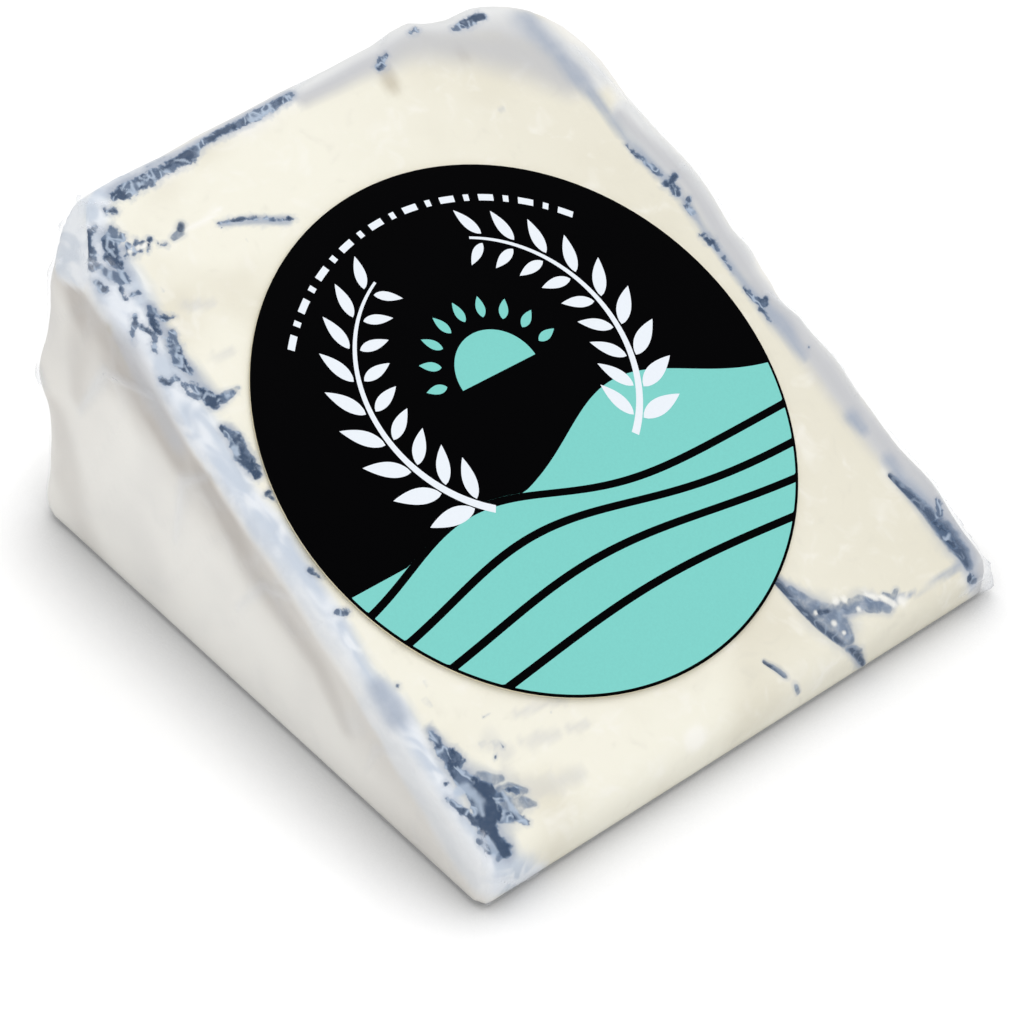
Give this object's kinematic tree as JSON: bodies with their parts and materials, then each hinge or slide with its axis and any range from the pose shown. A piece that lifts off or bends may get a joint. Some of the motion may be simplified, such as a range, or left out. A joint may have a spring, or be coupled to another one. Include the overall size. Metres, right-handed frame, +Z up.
{
  "type": "film-wrapped wedge of ash-ripened cashew cheese",
  "caption": "Wedge of pale ash-ripened cashew cheese in clear film, lying on a cut face, with a round black and mint label on its sloping cut face.",
  "frame": {"origin": "middle of the footprint, on the surface that the wedge rests on", "axes": "+X across the wedge, +Y from the thin tip to the rim, +Z up"},
  "size_m": [0.0778, 0.0804, 0.0447],
  "materials": {
    "cheese": "cream paste with a white rind, blue-grey ash along the cut edges and a few ash veins",
    "film": "clear cling film, milky where it folds",
    "label_black": "coated paper label, black, softly glossy",
    "label_mint": "mint print with a fine grain",
    "label_white": "white print"
  },
  "bodies": {
    "root": {"wrapped_wedge": "cheese", "label": "label_black"}
  },
  "joints": []
}
